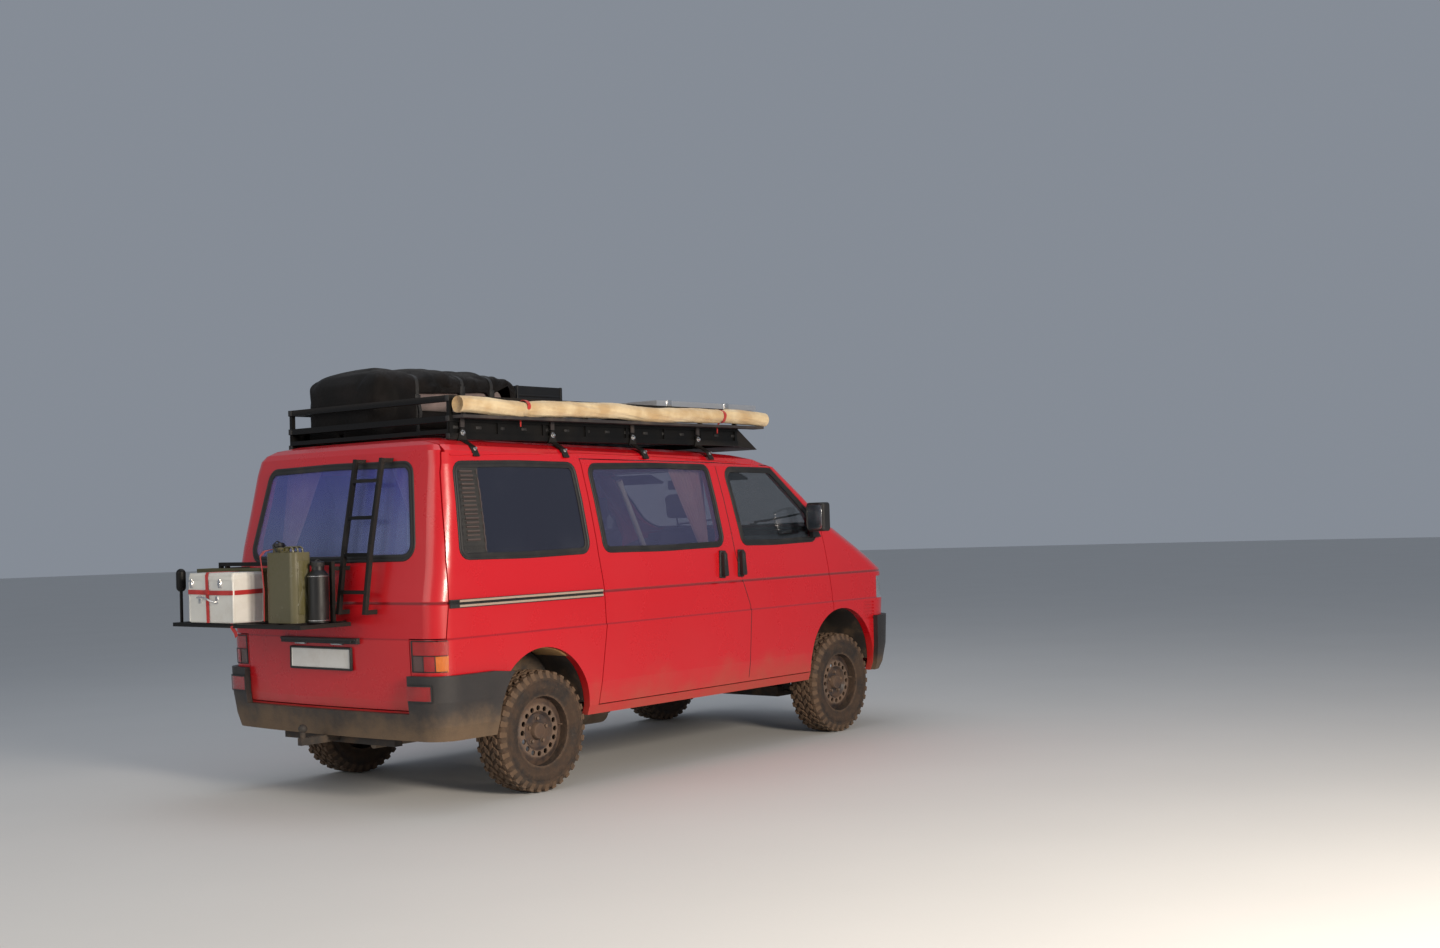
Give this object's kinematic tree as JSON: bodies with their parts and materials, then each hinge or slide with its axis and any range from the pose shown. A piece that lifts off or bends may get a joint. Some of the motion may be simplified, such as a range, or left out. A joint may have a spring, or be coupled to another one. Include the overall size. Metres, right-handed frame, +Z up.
{
  "type": "camper van with roof rack and rear carrier",
  "caption": "Camper van with hinged front doors, bonnet and tailgate, roof rack with folded tent and rolled awning, rear ladder and carrier, steered front wheels.",
  "frame": {"origin": "on the ground below the middle of the overall length and width", "axes": "+X forward, +Y to the van's left, +Z up"},
  "size_m": [4.9745, 2.184, 2.464],
  "materials": {
    "red_paint": "gloss, dusty",
    "dark_plastic": "grained, muddy",
    "door_fittings": "satin black",
    "glass": "tinted",
    "headlamp": "clear, ribbed",
    "tail_lamp": "red, clear and amber",
    "underbody": "matt, muddy",
    "cast_metal": "raw",
    "exhaust_metal": "dull",
    "wheel_steel": "black paint under mud",
    "tyre_rubber": "muddy",
    "cab_plastic": "grained",
    "seat_fabric": "woven",
    "furniture_board": "varnished",
    "curtain_fabric": "gathered",
    "rack_steel": "satin black",
    "tent_cover": "coated",
    "awning_fabric": "rolled",
    "panel_frame": "anodised",
    "case_plastic": "plain",
    "box_plastic": "plain",
    "can_paint": "olive",
    "flask_coat": "black",
    "plate_metal": "blank"
  },
  "bodies": {
    "body": {"awning_roll": "awning_fabric", "awning_shelf": "panel_frame", "body_glass": "glass", "bumpers": "dark_plastic", "cab_controls": "cab_plastic", "cab_frame": "red_paint", "curtains": "curtain_fabric", "engine": "cast_metal", "exhaust": "exhaust_metal", "floor": "underbody", "front_axle": "underbody", "front_panel": "red_paint", "front_seats": "seat_fabric", "fuel_tank": "underbody", "furniture": "furniture_board", "grilles": "dark_plastic", "headlamps": "headlamp", "mattress": "seat_fabric", "rear_axle": "underbody", "roof": "red_paint", "roof_case": "case_plastic", "roof_panel": "panel_frame", "roof_rack": "rack_steel", "sides": "red_paint", "slide_fittings": "door_fittings", "sliding_door": "red_paint", "tail_lamps": "tail_lamp", "tent_pack": "tent_cover", "tow_bar": "underbody", "wings": "red_paint"},
    "door_left": {"door_left": "red_paint", "door_glass_left": "glass", "door_fittings_left": "door_fittings"},
    "door_right": {"door_right": "red_paint", "door_glass_right": "glass", "door_fittings_right": "door_fittings"},
    "tailgate": {"tailgate": "red_paint", "tailgate_glass": "glass", "ladder": "rack_steel", "carrier": "rack_steel", "storage_box": "box_plastic", "can": "can_paint", "crate": "can_paint", "flask": "flask_coat", "number_plate": "plate_metal", "plate_garnish": "dark_plastic"},
    "bonnet": {"bonnet": "red_paint"},
    "knuckle_left": {"knuckle_left": "underbody"},
    "knuckle_right": {"knuckle_right": "underbody"},
    "wheel_front_left": {"rim_front_left": "wheel_steel", "tyre_front_left": "tyre_rubber"},
    "wheel_front_right": {"rim_front_right": "wheel_steel", "tyre_front_right": "tyre_rubber"},
    "wheel_rear_left": {"rim_rear_left": "wheel_steel", "tyre_rear_left": "tyre_rubber"},
    "wheel_rear_right": {"rim_rear_right": "wheel_steel", "tyre_rear_right": "tyre_rubber"}
  },
  "joints": [
    {"name": "steer_left", "type": "hinge", "parent": "body", "child": "knuckle_left", "pos_m": [1.68869, 0.752, 0.342], "axis": [0, 0, 1], "range_deg": [-33, 33]},
    {"name": "steer_right", "type": "hinge", "parent": "body", "child": "knuckle_right", "pos_m": [1.68869, -0.752, 0.342], "axis": [0, 0, 1], "range_deg": [-33, 33]},
    {"name": "spin_front_left", "type": "hinge", "parent": "knuckle_left", "child": "wheel_front_left", "pos_m": [1.68869, 0.785, 0.342], "axis": [0, 1, 0], "continuous": true},
    {"name": "spin_front_right", "type": "hinge", "parent": "knuckle_right", "child": "wheel_front_right", "pos_m": [1.68869, -0.785, 0.342], "axis": [0, 1, 0], "continuous": true},
    {"name": "spin_rear_left", "type": "hinge", "parent": "body", "child": "wheel_rear_left", "pos_m": [-1.23131, 0.778, 0.342], "axis": [0, 1, 0], "continuous": true},
    {"name": "spin_rear_right", "type": "hinge", "parent": "body", "child": "wheel_rear_right", "pos_m": [-1.23131, -0.778, 0.342], "axis": [0, 1, 0], "continuous": true},
    {"name": "open_door_left", "type": "hinge", "parent": "body", "child": "door_left", "pos_m": [1.54069, 0.934, 0.9], "axis": [0, 0, -1], "range_deg": [0, 65]},
    {"name": "open_door_right", "type": "hinge", "parent": "body", "child": "door_right", "pos_m": [1.54069, -0.934, 0.9], "axis": [0, 0, 1], "range_deg": [0, 65]},
    {"name": "lift_tailgate", "type": "hinge", "parent": "body", "child": "tailgate", "pos_m": [-1.85331, 0, 1.992], "axis": [0, 1, 0], "range_deg": [0, 85]},
    {"name": "lift_bonnet", "type": "hinge", "parent": "body", "child": "bonnet", "pos_m": [1.77869, 0, 1.4], "axis": [0, -1, 0], "range_deg": [0, 50]}
  ],
  "couplings": [
    {"joint": "steer_right", "follows": "steer_left", "ratio": 1}
  ]
}
